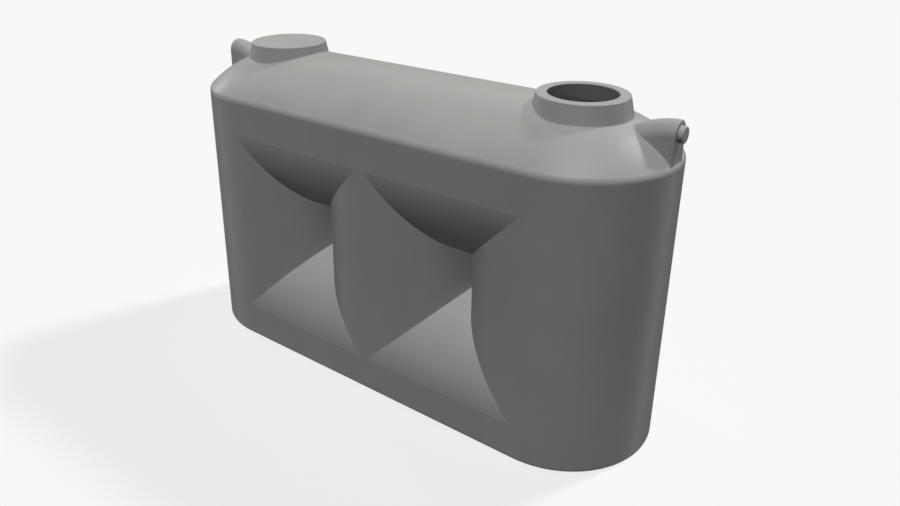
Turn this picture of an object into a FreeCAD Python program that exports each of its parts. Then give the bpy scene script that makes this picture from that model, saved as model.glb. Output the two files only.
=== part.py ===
import FreeCAD, Part
import os
import Sketcher
from math import atan2, radians, sqrt
from FreeCAD import Placement, Rotation, Vector

# Slimline water tank: one rotationally moulded shell. Its plan has flat long faces and round ends,
# its roof is a low vault that turns round each end, and a deep recess beside each half of a face
# ties the walls against the weight of the water. Millimetres, +Z up, +X along the tank towards the
# manhole, -Y the front. The origin is the middle of the flat base.

SIZES = (
    ("half_width", 440.0, "half the width across the faces, also the radius of the round ends"),
    ("straight_length", 1760.0, "flat length of a face, between the centres of the round ends"),
    ("shoulder_height", 1386.0, "height where roof and wall would meet without their rounding"),
    ("roof_rise", 186.0, "rise of the roof's crown over the shoulder"),
    ("wall", 8.0, "thickness of the moulded wall"),
    ("shoulder_radius", 36.0, "outer rounding between wall and roof"),
    ("base_radius", 18.0, "outer rounding between base and wall"),
    ("collar_over_crown", 47.0, "top of both collars above the crown"),
    ("collar_radius", 198.0, "outer radius of a collar at its top"),
    ("collar_draft", 12.5, "draft of a collar's wall, in degrees"),
    ("collar_rim_radius", 4.0, "rounding of a collar's top edge"),
    ("collar_root_radius", 8.0, "rounding between a collar and the roof"),
    ("manhole_radius", 152.0, "hole cut in the top of the collar at the +X end"),
    ("hood_half_width", 58.0, "half the width of an end hood, also the radius of its round top"),
    ("hood_below_collar", 40.0, "top of a hood's end face below the top of the collars"),
    ("hood_setback", 11.0, "hood's end face inside the outermost point of the round end"),
    ("hood_arc_radius", 360.0, "arc on which a hood's ridge falls from its end face to the collar"),
    ("hood_edge_radius", 6.0, "rounding round a hood's end face"),
    ("hood_root_radius", 6.0, "rounding between a hood and the roof"),
    ("stub_radius", 35.0, "outer radius of the closed stub on a hood's end face"),
    ("stub_length", 22.0, "length of a stub from the hood's end face"),
    ("stub_edge_radius", 3.0, "rounding of a stub's end"),
    ("recess_low", 162.0, "lower end of a recess above the base"),
    ("recess_below_shoulder", 170.0, "upper end of a recess below the shoulder"),
    ("recess_root_radius", 12.0, "rounding at the bottom of a recess"),
    ("root_gap", 184.0, "distance between the bottoms of two facing recesses"),
    ("edge_break", 0.5, "depth by which the walls of a recess break its face in a crease"),
)
RECESSES_PER_FACE = 2

doc = FreeCAD.newDocument("slimline_tank")
sheet = doc.addObject("Spreadsheet::Sheet", "sizes")
for row, (alias, number, meaning) in enumerate(SIZES, start=1):
    sheet.set(f"A{row}", meaning)
    sheet.set(f"B{row}", str(number))
    sheet.setAlias(f"B{row}", alias)
doc.recompute()

# Rules that more than one piece shares.
CROWN = "(sizes.shoulder_height + sizes.roof_rise)"
COLLAR_TOP = f"({CROWN} + sizes.collar_over_crown)"
VAULT_RADIUS = "((sizes.half_width^2 + sizes.roof_rise^2) / (2 * sizes.roof_rise))"
END_CENTRE = "(sizes.straight_length / 2)"
COLLAR_HEIGHT = f"({COLLAR_TOP} - sizes.shoulder_height)"
HOOD_FACE = f"({END_CENTRE} + sizes.half_width - sizes.hood_setback)"
HOOD_AXIS = f"({COLLAR_TOP} - sizes.hood_below_collar - sizes.hood_half_width)"
HOOD_ARC_CENTRE = f"({COLLAR_TOP} - sizes.hood_below_collar - sizes.hood_arc_radius)"
HOOD_FOOT = f"(({HOOD_ARC_CENTRE} + sizes.shoulder_height) / 2)"
RECESS_TOP = "(sizes.shoulder_height - sizes.recess_below_shoulder)"
RECESS_HALF = f"(sizes.straight_length / {2 * RECESSES_PER_FACE})"
RECESS_DEPTH = "(sizes.half_width - sizes.root_gap / 2 + sizes.edge_break)"
RECESS_ARC = (f"(({RECESS_HALF}^2 + {RECESS_DEPTH}^2) / (2 * {RECESS_DEPTH})"
              " - sizes.recess_root_radius)")
RECESS_CENTRE = f"({RECESS_ARC} - sizes.half_width - sizes.edge_break)"

UPRIGHT = Rotation(Vector(1, 1, 1), 120)  # a sketch's x along +Y and its y along +Z


def value(rule):
    """What a rule gives at the sheet's present sizes."""
    return float(sheet.evalExpression(rule))


def bind(thing, **rules):
    """Binds properties to rules, with __ in a name for the dot in the property's path."""
    for path, rule in rules.items():
        thing.setExpression(path.replace("__", "."), rule)


def arc(centre, radius, start, end):
    """An arc of a sketch, counter-clockwise between two angles in radians."""
    return Part.ArcOfCircle(Part.Circle(Vector(*centre, 0), Vector(0, 0, 1), radius), start, end)


def line(start, end):
    """A straight edge of a sketch."""
    return Part.LineSegment(Vector(*start, 0), Vector(*end, 0))


def outline(name, rotation, edges, relations, dimensions):
    """A closed sketch. Relations are geometric constraints and dimensions are bound to rules."""
    sketch = doc.addObject("Sketcher::SketchObject", name)
    sketch.Placement = Placement(Vector(), rotation)
    sketch.addGeometry(edges, False)
    sketch.addConstraint([Sketcher.Constraint(*relation) for relation in relations])
    for label, rule, kind, *where in dimensions:
        index = sketch.addConstraint(Sketcher.Constraint(kind, *where, value(rule)))
        sketch.renameConstraint(index, label)
        sketch.setExpression(f"Constraints.{label}", rule)
    return sketch


TOUCH = 0.01  # points closer than this are the same point
PLANE, CYLINDER, CONE, BALL, RING = (f"Part::Geom{kind}" for kind in
                                     ("Plane", "Cylinder", "Cone", "Sphere", "Toroid"))


def heights(edge):
    """Heights of an edge's ends."""
    return [vertex.Point.z for vertex in edge.Vertexes]


def is_rim(edge, beside):
    """Top edge of a collar."""
    return beside == {PLANE, CONE} and min(heights(edge)) > value(COLLAR_TOP) - TOUCH


def is_collar_root(edge, beside):
    """Where a collar comes out of the roof, over the straight length or over a round end."""
    return beside in ({CONE, CYLINDER}, {CONE, BALL})


def is_hood_rim(edge, beside):
    """Edge round a hood's end face, without the foot that the body hides."""
    at_face = all(abs(abs(vertex.Point.x) - value(HOOD_FACE)) < TOUCH for vertex in edge.Vertexes)
    return at_face and max(heights(edge)) > value(HOOD_FOOT) + TOUCH


def is_hood_root(edge, beside):
    """Where the ridge or a side of a hood comes out of the roof."""
    ridge = beside == {RING, BALL} and edge.Curve.TypeId != "Part::GeomCircle"
    return ridge or beside == {PLANE, BALL}


def is_stub_end(edge, beside):
    """Outer edge of a stub."""
    reach = value(f"{HOOD_FACE} + sizes.stub_length")
    return all(abs(abs(vertex.Point.x) - reach) < TOUCH for vertex in edge.Vertexes)


def rounded(form, name, roundings):
    """A form whose picked edges are rounded. Each picker reads an edge and the surfaces beside it."""
    doc.recompute()
    edges = []
    for number, edge in enumerate(form.Shape.Edges, start=1):
        beside = {face.Surface.TypeId for face in form.Shape.ancestorsOfType(edge, Part.Face)}
        for belongs, rule in roundings.items():
            if edge.Vertexes and belongs(edge, beside):
                edges.append((number, value(rule), value(rule)))
    fillet = doc.addObject("Part::Fillet", name)
    fillet.Base = form
    fillet.Edges = edges
    return fillet


ORIGIN, V_AXIS = range(-1, -3, -1)  # a sketch's own origin point and vertical axis
START, END, CENTRE = range(1, 4)  # the points of an edge


def half_section(skin, inset):
    """Half the body's cross-section: base, wall and vault, with the roundings between them."""
    across = value(f"sizes.half_width - {inset}")
    base_r = value(f"sizes.base_radius - {inset}")
    shoulder_r = value(f"sizes.shoulder_radius - {inset}")
    vault_r = value(f"{VAULT_RADIUS} - {inset}")
    vault_z = value(f"{CROWN} - {VAULT_RADIUS} - {inset}")
    shoulder_y = across - shoulder_r
    shoulder_z = vault_z + sqrt((vault_r - shoulder_r) ** 2 - shoulder_y ** 2)
    meeting = atan2(shoulder_z - vault_z, shoulder_y)
    upright = radians(90)
    sketch = outline(
        f"{skin}_section", UPRIGHT,
        [line((0, 0), (across - base_r, 0)),
         arc((across - base_r, base_r), base_r, -upright, 0),
         line((across, base_r), (across, shoulder_z)),
         arc((shoulder_y, shoulder_z), shoulder_r, 0, meeting),
         arc((0, vault_z), vault_r, meeting, upright),
         line((0, vault_z + vault_r), (0, 0))],
        [("Coincident", 0, START, ORIGIN, 1), ("Horizontal", 0), ("Vertical", 2),
         ("Tangent", 0, END, 1, START), ("Tangent", 1, END, 2, START),
         ("Tangent", 2, END, 3, START), ("Tangent", 3, END, 4, START),
         ("PointOnObject", 4, CENTRE, V_AXIS), ("PointOnObject", 4, END, V_AXIS),
         ("Coincident", 4, END, 5, START), ("Coincident", 5, END, 0, START)],
        [("across", f"sizes.half_width - {inset}", "DistanceX", ORIGIN, 1, 2, START),
         ("base_rounding", f"sizes.base_radius - {inset}", "Radius", 1),
         ("shoulder_rounding", f"sizes.shoulder_radius - {inset}", "Radius", 3),
         ("vault", f"{VAULT_RADIUS} - {inset}", "Radius", 4),
         ("vault_centre", f"{CROWN} - {VAULT_RADIUS} - {inset}", "DistanceY", ORIGIN, 1, 4, CENTRE)])
    bind(sketch, Placement__Base__z=inset)
    return sketch


def body(skin, inset):
    """The plain body: its section run along the straight length and turned round both ends."""
    section = half_section(skin, inset)
    back = doc.addObject("Part::Extrusion", f"{skin}_back_half")
    back.Base = section
    back.DirMode = "Custom"
    back.Dir = Vector(1, 0, 0)
    back.Symmetric = True
    back.Solid = True
    bind(back, LengthFwd="sizes.straight_length")
    front = doc.addObject("Part::Mirroring", f"{skin}_front_half")
    front.Source = back
    front.Normal = Vector(0, 1, 0)
    ends = []
    for side, word in ((1, "right"), (-1, "left")):
        end = doc.addObject("Part::Revolution", f"{skin}_{word}_end")
        end.Source = section
        end.Axis = Vector(0, 0, -side)
        end.Angle = 180
        end.Solid = True
        bind(end, Placement__Base__x=f"{side} * {END_CENTRE}")
        ends.append(end)
    return [back, front, *ends]


def collar(skin, inset, side, word):
    """A drafted round collar that stands through the roof over the centre of a round end."""
    cone = doc.addObject("Part::Cone", f"{skin}_{word}_collar")
    rise = f"({COLLAR_HEIGHT} - {inset})"
    top = f"(sizes.collar_radius + {inset} * (tan(sizes.collar_draft) - 1 / cos(sizes.collar_draft)))"
    bind(cone, Radius2=top, Radius1=f"{top} + {rise} * tan(sizes.collar_draft)", Height=rise,
         Placement__Base__x=f"{side} * {END_CENTRE}", Placement__Base__z="sizes.shoulder_height")
    return cone


def hood(skin, inset, side, word):
    """A round-topped hood whose ridge falls on an arc from a flat end face to its collar."""
    half = value(f"sizes.hood_half_width - {inset}")
    axis_z = value(HOOD_AXIS)
    foot_z = value(HOOD_FOOT)
    sketch = outline(
        f"{skin}_{word}_hood_section", UPRIGHT,
        [line((-half, foot_z), (half, foot_z)),
         line((half, foot_z), (half, axis_z)),
         arc((0, axis_z), half, 0, radians(180)),
         line((-half, axis_z), (-half, foot_z))],
        [("Horizontal", 0), ("Vertical", 1), ("Vertical", 3),
         ("Coincident", 0, END, 1, START), ("Tangent", 1, END, 2, START),
         ("Tangent", 2, END, 3, START), ("Coincident", 3, END, 0, START),
         ("PointOnObject", 2, CENTRE, V_AXIS)],
        [("round_top", f"sizes.hood_half_width - {inset}", "Radius", 2),
         ("axis_height", HOOD_AXIS, "DistanceY", ORIGIN, 1, 2, CENTRE),
         ("foot_height", HOOD_FOOT, "DistanceY", ORIGIN, 1, 0, START)])
    bind(sketch, Placement__Base__x=f"{side} * ({HOOD_FACE} - {inset})")
    bent = doc.addObject("Part::Revolution", f"{skin}_{word}_hood")
    bent.Source = sketch
    bent.Axis = Vector(0, -side, 0)
    bent.Solid = True
    bind(bent, Base__x=f"{side} * {HOOD_FACE}", Base__z=HOOD_ARC_CENTRE,
         Angle=f"asin(({HOOD_FACE} - {END_CENTRE} - sizes.collar_radius) / sizes.hood_arc_radius)")
    return bent


def soft_hood(skin, inset, side, word):
    """A hood, on the outer skin with the edge of its end face rounded."""
    bent = hood(skin, inset, side, word)
    if skin == "cavity":
        return bent
    return rounded(bent, f"{skin}_{word}_soft_hood", {is_hood_rim: "sizes.hood_edge_radius"})


def stub(skin, inset, side, word):
    """A short closed stub on a hood's end face, concentric with the hood's round top."""
    rod = doc.addObject("Part::Cylinder", f"{skin}_{word}_stub")
    rod.Placement = Placement(Vector(), Rotation(Vector(0, 1, 0), 90 * side))
    bind(rod, Radius=f"sizes.stub_radius - {inset}",
         Height=f"sizes.stub_length - {inset} + sizes.hood_half_width",
         Placement__Base__x=f"{side} * ({HOOD_FACE} - sizes.hood_half_width)",
         Placement__Base__z=HOOD_AXIS)
    return rod


def groove_plan(skin, inset):
    """Plan of one upright groove: two arcs that leave the face and meet in a rounded root."""
    arc_r = value(f"{RECESS_ARC} - {inset}")
    root_r = value(f"sizes.recess_root_radius + {inset}")
    half = value(RECESS_HALF)
    centre_y = value(RECESS_CENTRE)
    root_y = centre_y - sqrt((arc_r + root_r) ** 2 - half ** 2)
    lean = atan2(centre_y - root_y, half)
    face_y = centre_y - arc_r
    clear_y = face_y - value("sizes.half_width")
    return outline(
        f"{skin}_groove_plan", Rotation(),
        [arc((-half, centre_y), arc_r, radians(-90), -lean),
         arc((0, root_y), root_r, lean, radians(180) - lean),
         arc((half, centre_y), arc_r, radians(180) + lean, radians(270)),
         line((half, face_y), (half, clear_y)),
         line((half, clear_y), (-half, clear_y)),
         line((-half, clear_y), (-half, face_y))],
        [("Tangent", 0, END, 1, END), ("Tangent", 1, START, 2, START),
         ("Coincident", 2, END, 3, START), ("Coincident", 3, END, 4, START),
         ("Coincident", 4, END, 5, START), ("Coincident", 5, END, 0, START),
         ("Vertical", 3), ("Vertical", 5), ("Horizontal", 4), ("Equal", 0, 2),
         ("Vertical", 0, CENTRE, 0, START), ("Vertical", 2, CENTRE, 2, END),
         ("Horizontal", 0, CENTRE, 2, CENTRE), ("PointOnObject", 1, CENTRE, V_AXIS)],
        [("lobe", f"{RECESS_ARC} - {inset}", "Radius", 0),
         ("root", f"sizes.recess_root_radius + {inset}", "Radius", 1),
         ("half_recess", RECESS_HALF, "DistanceX", ORIGIN, 1, 2, CENTRE),
         ("lobe_centre", RECESS_CENTRE, "DistanceY", ORIGIN, 1, 2, CENTRE),
         ("mouth", "sizes.half_width", "DistanceY", 3, END, 3, START)])


def level_space(skin, inset):
    """The space between the upper and the lower roll, open to the face."""
    box = doc.addObject("Part::Box", f"{skin}_between_heights")
    bind(box, Length=f"sizes.straight_length + 2 * {RECESS_HALF}", Width="sizes.half_width * 2",
         Height=f"{RECESS_TOP} - sizes.recess_low",
         Placement__Base__x=f"-({END_CENTRE} + {RECESS_HALF})",
         Placement__Base__y=f"{RECESS_CENTRE} - sizes.half_width * 2",
         Placement__Base__z="sizes.recess_low")
    rolls = []
    for word, height in (("lower", "sizes.recess_low"), ("upper", RECESS_TOP)):
        roll = doc.addObject("Part::Cylinder", f"{skin}_{word}_roll")
        roll.Placement = Placement(Vector(), Rotation(Vector(0, 1, 0), 90))
        bind(roll, Radius=f"{RECESS_ARC} - {inset}",
             Height=f"sizes.straight_length + 2 * {RECESS_HALF}",
             Placement__Base__x=f"-({END_CENTRE} + {RECESS_HALF})",
             Placement__Base__y=RECESS_CENTRE, Placement__Base__z=height)
        rolls.append(roll)
    both = doc.addObject("Part::MultiFuse", f"{skin}_rolls")
    both.Shapes = rolls
    space = doc.addObject("Part::Cut", f"{skin}_level_space")
    space.Base = box
    space.Tool = both
    return space


def recesses(skin, inset):
    """What both faces lose. A recess is what an upright groove and the level space share."""
    plan = groove_plan(skin, inset)
    grooves = []
    for number in range(RECESSES_PER_FACE):
        groove = doc.addObject("Part::Extrusion", f"{skin}_groove_{number + 1}")
        groove.Base = plan
        groove.DirMode = "Custom"
        groove.Dir = Vector(0, 0, 1)
        groove.Solid = True
        bind(groove, LengthFwd="sizes.shoulder_height",
             Placement__Base__x=f"{RECESS_HALF} * {2 * number + 1 - RECESSES_PER_FACE}")
        grooves.append(groove)
    upright = doc.addObject("Part::Compound", f"{skin}_grooves")
    upright.Links = grooves
    front = doc.addObject("Part::MultiCommon", f"{skin}_front_recesses")
    front.Shapes = [upright, level_space(skin, inset)]
    back = doc.addObject("Part::Mirroring", f"{skin}_back_recesses")
    back.Source = front
    back.Normal = Vector(0, 1, 0)
    return [front, back]


def full_form(skin, inset):
    """Everything inside one skin of the shell before the recesses are taken away."""
    pieces = body(skin, inset)
    for side, word in ((1, "right"), (-1, "left")):
        pieces.append(collar(skin, inset, side, word))
        pieces.append(soft_hood(skin, inset, side, word))
        pieces.append(stub(skin, inset, side, word))
    full = doc.addObject("Part::MultiFuse", f"{skin}_full")
    full.Shapes = pieces
    full.Refine = True
    return full


def waisted(skin, inset, full):
    """The form inside one skin with the recesses of both faces taken away."""
    cutters = doc.addObject("Part::Compound", f"{skin}_recesses")
    cutters.Links = recesses(skin, inset)
    form = doc.addObject("Part::Cut", f"{skin}_form")
    form.Base = full
    form.Tool = cutters
    form.Refine = True
    return form


# The shell is the outer form less the cavity, with the manhole cut in one collar's top.
outer_form = rounded(full_form("outer", "0"), "outer_rounded", {
    is_rim: "sizes.collar_rim_radius",
    is_collar_root: "sizes.collar_root_radius",
    is_hood_root: "sizes.hood_root_radius",
    is_stub_end: "sizes.stub_edge_radius",
})
shell = doc.addObject("Part::Cut", "closed_shell")
shell.Base = waisted("outer", "0", outer_form)
shell.Tool = waisted("cavity", "sizes.wall", full_form("cavity", "sizes.wall"))

manhole = doc.addObject("Part::Cylinder", "manhole")
bind(manhole, Radius="sizes.manhole_radius", Height="sizes.collar_over_crown + sizes.wall",
     Placement__Base__x=END_CENTRE, Placement__Base__z=CROWN)

tank = doc.addObject("Part::Cut", "tank_shell")
tank.Label = "tank_shell"
tank.Base = shell
tank.Tool = manhole
doc.recompute()

for thing in doc.Objects:
    if "Invalid" in thing.State or "Error" in thing.State:
        raise RuntimeError(f"{thing.Name} did not compute: {thing.State}")
NODES = (tank,)
for node in NODES:
    if node.Shape.isNull() or not node.Shape.isValid():
        raise RuntimeError(f"{node.Label} has no valid shape")

os.makedirs("parts", exist_ok=True)
for node in NODES:
    node.Shape.exportStep(os.path.join("parts", f"{node.Label}.step"))
    print(node.Label, "solids", len(node.Shape.Solids), "faces", len(node.Shape.Faces),
          "material litres", round(node.Shape.Volume / 1e6, 2))
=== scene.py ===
from math import radians

import bpy
import numpy as np
from mathutils import Euler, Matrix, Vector

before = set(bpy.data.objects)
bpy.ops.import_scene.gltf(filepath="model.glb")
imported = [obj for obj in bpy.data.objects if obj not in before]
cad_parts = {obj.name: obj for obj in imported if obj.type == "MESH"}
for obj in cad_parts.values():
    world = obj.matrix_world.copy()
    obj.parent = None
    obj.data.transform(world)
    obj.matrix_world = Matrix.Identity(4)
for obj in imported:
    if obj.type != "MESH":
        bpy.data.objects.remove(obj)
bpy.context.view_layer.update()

# The tank: one hollow polyethylene moulding with a wall of about 8 mm, turned in an oven until the
# powder has coated the mould, and left as it comes out of it. Its outside is satin, with the mould's
# fine grain, faint clouds where the pigment settled, and edges lightened: partly wear from handling,
# partly a painted highlight that also lines the hollow roots of the collars and hoods.
RESIN_DEEP = (0.308, 0.302, 0.292, 1.0)
RESIN_PALE = (0.366, 0.36, 0.348, 1.0)
# The pale edge colour below is partly handling wear and partly a painted highlight along edges and
# roots.
BURNISHED_AND_HIGHLIT = (0.56, 0.552, 0.536, 1.0)

# The patterns in the resin, as patches per metre, octaves of detail and roughness of the noise, and
# then each one's share in the shade. Flow marks are drawn out along the height of the wall.
CLOUDS = (1.7, 3.0, 0.5)
FLOW = (7.0, 4.0, 0.6)
PIGMENT = (260.0, 2.0, 0.7)
FLOW_SQUEEZE = (1.0, 1.0, 0.3)
CLOUDS_SHARE, FLOW_SHARE, PIGMENT_SHARE = 0.9, 0.45, 0.5
SHADE_DEEP, SHADE_PALE = 0.6, 1.25

# Edges are lightened where the normal of the rounded-off surface leaves the true one, partly as wear
# and partly as a painted highlight, in hollow roots as well as on outer edges. It starts at the first
# cosine between them and is full at the second.
EDGE_WIDTH = 0.006
EDGE_SAMPLES = 6
EDGE_START, EDGE_FULL = 0.995, 0.86
EDGE_WEAR_AND_HIGHLIGHT = 0.7

# The satin's roughness follows the clouds and the pigment. It grows towards a glancing view, which
# keeps the pale studio from drawing a bright rim round the tank.
SATIN_LEAST, SATIN_MOST = 0.4, 0.46
SATIN_SHARE = 0.5
SATIN_FROM, SATIN_TO = 0.3, 0.7
GLANCE_FROM, GLANCE_TO = 0.6, 0.95
GLANCE_DULLING = 0.6
SHINE = 0.22

# The relief of the skin, as patches per metre, octaves of detail and depth in metres.
SINK_MARKS = (4.2, 1.0, 0.0011)
ORANGE_PEEL = (95.0, 2.0, 0.00022)
MOULD_GRAIN = (620.0, 3.0, 0.00006)


def wired(tree, kind, settings=(), **inputs):
    """A node of a material. Each input is a value or another node's output, and it is named _N for
    the socket of number N, or as the socket is, with an underscore for a space."""
    node = tree.nodes.new(kind)
    for name, setting in dict(settings).items():
        setattr(node, name, setting)
    for name, source in inputs.items():
        socket = node.inputs[int(name[1:]) if name[1:].isdigit() else name.replace("_", " ")]
        if isinstance(source, bpy.types.NodeSocket):
            tree.links.new(source, socket)
        else:
            socket.default_value = source
    return node


def noise(tree, place, per_metre, detail, roughness=0.5):
    """Noise between about 0.2 and 0.8, at so many patches per metre."""
    node = wired(tree, "ShaderNodeTexNoise", Vector=place, Scale=per_metre, Detail=detail,
                 Roughness=roughness)
    return node.outputs["Fac"]


def calculated(tree, operation, first, second):
    """Two values put together by one step of arithmetic."""
    return wired(tree, "ShaderNodeMath", {"operation": operation}, _0=first, _1=second).outputs[0]


def blended(tree, *weighted):
    """The sum of values times their weights, as a chain of multiply-adds."""
    total = 0.0
    for source, weight in weighted:
        total = wired(tree, "ShaderNodeMath", {"operation": "MULTIPLY_ADD"}, _0=source, _1=weight,
                      _2=total).outputs[0]
    return total


def ranged(tree, source, start, end, low, high):
    """A value carried in proportion from start..end to low..high, and held at its two ends."""
    node = wired(tree, "ShaderNodeMapRange", _0=source, _1=start, _2=end, _3=low, _4=high)
    return node.outputs[0]


def tinted(tree, share, first, second):
    """A colour that goes from the first to the second as the share goes from 0 to 1."""
    node = wired(tree, "ShaderNodeMix", {"data_type": "RGBA"}, _0=share, _6=first, _7=second)
    return node.outputs[2]


def moulded_polyethylene():
    """Satin rotationally moulded polyethylene, with its pattern in metres on the tank."""
    material = bpy.data.materials.new("moulded_polyethylene")
    material.use_nodes = True
    tree = material.node_tree
    skin = tree.nodes["Principled BSDF"]
    place = wired(tree, "ShaderNodeTexCoord").outputs["Object"]
    drawn = wired(tree, "ShaderNodeMapping", Vector=place, Scale=FLOW_SQUEEZE).outputs["Vector"]

    clouds = noise(tree, place, *CLOUDS)
    flow = noise(tree, drawn, *FLOW)
    pigment = noise(tree, place, *PIGMENT)
    shade = blended(tree, (clouds, CLOUDS_SHARE), (flow, FLOW_SHARE), (pigment, PIGMENT_SHARE))
    paleness = ranged(tree, shade, SHADE_DEEP, SHADE_PALE, 0.0, 1.0)
    resin = tinted(tree, paleness, RESIN_DEEP, RESIN_PALE)

    # An edge is where the surface's normal leaves the normal of the same surface rounded off.
    rounded = wired(tree, "ShaderNodeBevel", {"samples": EDGE_SAMPLES}, Radius=EDGE_WIDTH)
    flat = wired(tree, "ShaderNodeNewGeometry")
    along = wired(tree, "ShaderNodeVectorMath", {"operation": "DOT_PRODUCT"},
                  _0=rounded.outputs["Normal"], _1=flat.outputs["Normal"])
    edge = ranged(tree, along.outputs["Value"], EDGE_START, EDGE_FULL, 0.0, EDGE_WEAR_AND_HIGHLIGHT)
    # Edge lightening, its amount varied by the flow noise: partly wear, partly a painted highlight
    # that also lines the hollow roots of the collars and hoods.
    rubbed_and_highlit = calculated(tree, "MULTIPLY", edge, flow)
    tree.links.new(tinted(tree, rubbed_and_highlit, resin, BURNISHED_AND_HIGHLIT), skin.inputs["Base Color"])

    settled = blended(tree, (clouds, SATIN_SHARE), (pigment, SATIN_SHARE))
    satin = ranged(tree, settled, SATIN_FROM, SATIN_TO, SATIN_LEAST, SATIN_MOST)
    glance = wired(tree, "ShaderNodeLayerWeight").outputs["Facing"]
    duller = ranged(tree, glance, GLANCE_FROM, GLANCE_TO, 0.0, GLANCE_DULLING)
    tree.links.new(calculated(tree, "ADD", satin, duller), skin.inputs["Roughness"])

    relief = rounded.outputs["Normal"]
    for per_metre, detail, depth in (SINK_MARKS, ORANGE_PEEL, MOULD_GRAIN):
        height = noise(tree, place, per_metre, detail)
        relief = wired(tree, "ShaderNodeBump", Distance=depth, Height=height,
                       Normal=relief).outputs["Normal"]
    tree.links.new(relief, skin.inputs["Normal"])
    skin.inputs["Specular IOR Level"].default_value = SHINE
    return material


tank = bpy.data.objects["tank_shell"]
tank.material_slots[0].material = moulded_polyethylene()

# The ground under the tank: a plain pale studio floor of matt paper, wide enough to fill the view.
# It passes little light on to the tank, as over a dark surround, so that the undersides of the
# tank's rolls stay deep.
PAPER = (0.886, 0.886, 0.886, 1.0)
SURROUND = (0.02, 0.02, 0.02, 1.0)
EVENNESS = 0.55
FLOOR_REACH = 90.0
SQUARE = ((-1, -1, 0), (1, -1, 0), (1, 1, 0), (-1, 1, 0))


def seen_directly(tree):
    """1 for rays that the camera, a gloss or a glass sends, and 0 for diffuse light."""
    path = wired(tree, "ShaderNodeLightPath").outputs
    either = calculated(tree, "MAXIMUM", path["Is Camera Ray"], path["Is Glossy Ray"])
    return calculated(tree, "MAXIMUM", either, path["Is Transmission Ray"])


def studio_paper():
    """Matt paper, dark to diffuse light. To the eye it is pale, with an even glow mixed in that keeps
    the tank's shadow on it faint."""
    material = bpy.data.materials.new("studio_paper")
    material.use_nodes = True
    tree = material.node_tree
    tree.nodes.remove(tree.nodes["Principled BSDF"])
    pale = wired(tree, "ShaderNodeBsdfDiffuse", Color=PAPER)
    glow = wired(tree, "ShaderNodeEmission", Color=PAPER)
    seen = wired(tree, "ShaderNodeMixShader", _0=EVENNESS, _1=pale.outputs[0], _2=glow.outputs[0])
    dark = wired(tree, "ShaderNodeBsdfDiffuse", Color=SURROUND)
    mixed = wired(tree, "ShaderNodeMixShader", _0=seen_directly(tree), _1=dark.outputs[0],
                  _2=seen.outputs[0])
    tree.links.new(mixed.outputs[0], tree.nodes["Material Output"].inputs["Surface"])
    return material


floor_mesh = bpy.data.meshes.new("studio_floor")
floor_mesh.from_pydata((np.array(SQUARE) * FLOOR_REACH).tolist(), [], [(0, 1, 2, 3)])
floor_mesh.materials.append(studio_paper())
floor = bpy.data.objects.new("studio_floor", floor_mesh)
bpy.context.collection.objects.link(floor)

# The light round the tank: an even dim room that is white to the camera, one wide fill from high in
# front that casts no shadow, a low lamp on the left for the shoulder's highlight, and a key lamp
# behind on the right, which gives the shadows beside the collars and the hoods.
WHITE = (1.0, 1.0, 1.0, 1.0)
ROOM = 0.015

world = bpy.data.worlds.new("room")
world.use_nodes = True
bpy.context.scene.world = world
room = world.node_tree
air = room.nodes["Background"]
air.inputs["Color"].default_value = PAPER
dim = wired(room, "ShaderNodeBackground", Color=WHITE, Strength=ROOM)
around = wired(room, "ShaderNodeMixShader", _0=seen_directly(room), _1=dim.outputs[0],
               _2=air.outputs[0])
room.links.new(around.outputs[0], room.nodes["World Output"].inputs["Surface"])


def lamp(name, azimuth, elevation, strength, width, shadow=True):
    """A far lamp, with its direction and its width in degrees.
    At strength 1 a surface that faces it renders in its own colour."""
    light = bpy.data.lights.new(name, "SUN")
    light.energy = strength * np.pi
    light.angle = radians(width)
    light.use_shadow = shadow
    rig = bpy.data.objects.new(name, light)
    turn, rise = radians(azimuth), radians(elevation)
    towards = Vector((np.cos(turn), np.sin(turn), np.tan(rise)))
    rig.rotation_euler = towards.to_track_quat("Z", "Y").to_euler()
    bpy.context.collection.objects.link(rig)


lamp("fill_above", azimuth=284, elevation=70, strength=0.85, width=40, shadow=False)
lamp("rim_left", azimuth=167, elevation=10, strength=0.17, width=8)
lamp("key_behind", azimuth=67, elevation=46, strength=0.39, width=8)

# The camera at the photograph's place, solved from the tank's own edges: 3 m in front of the tank's
# middle, 1 m beyond its right end and 2.5 m above the floor, turned to the left and looking down.
PHOTO_WIDTH, PHOTO_HEIGHT = 900, 506
FOCAL_PIXELS = 798.86
CENTRE_PIXEL = (415.49, 191.04)
CAMERA_PLACE = (2.3223, -2.9995, 2.4912)
LOOK_DOWN, LOOK_LEFT = 22.05, 37.86

view = bpy.data.cameras.new("camera")
view.sensor_fit = "HORIZONTAL"
view.lens = FOCAL_PIXELS / PHOTO_WIDTH * view.sensor_width
view.shift_x = (PHOTO_WIDTH / 2 - CENTRE_PIXEL[0]) / PHOTO_WIDTH
view.shift_y = (CENTRE_PIXEL[1] - PHOTO_HEIGHT / 2) / PHOTO_WIDTH
view.clip_end = 2 * FLOOR_REACH
camera = bpy.data.objects.new("camera", view)
camera.location = CAMERA_PLACE
camera.rotation_euler = Euler((radians(90 - LOOK_DOWN), 0, radians(LOOK_LEFT)))
bpy.context.collection.objects.link(camera)
bpy.context.scene.camera = camera
bpy.context.scene.view_settings.view_transform = "Standard"
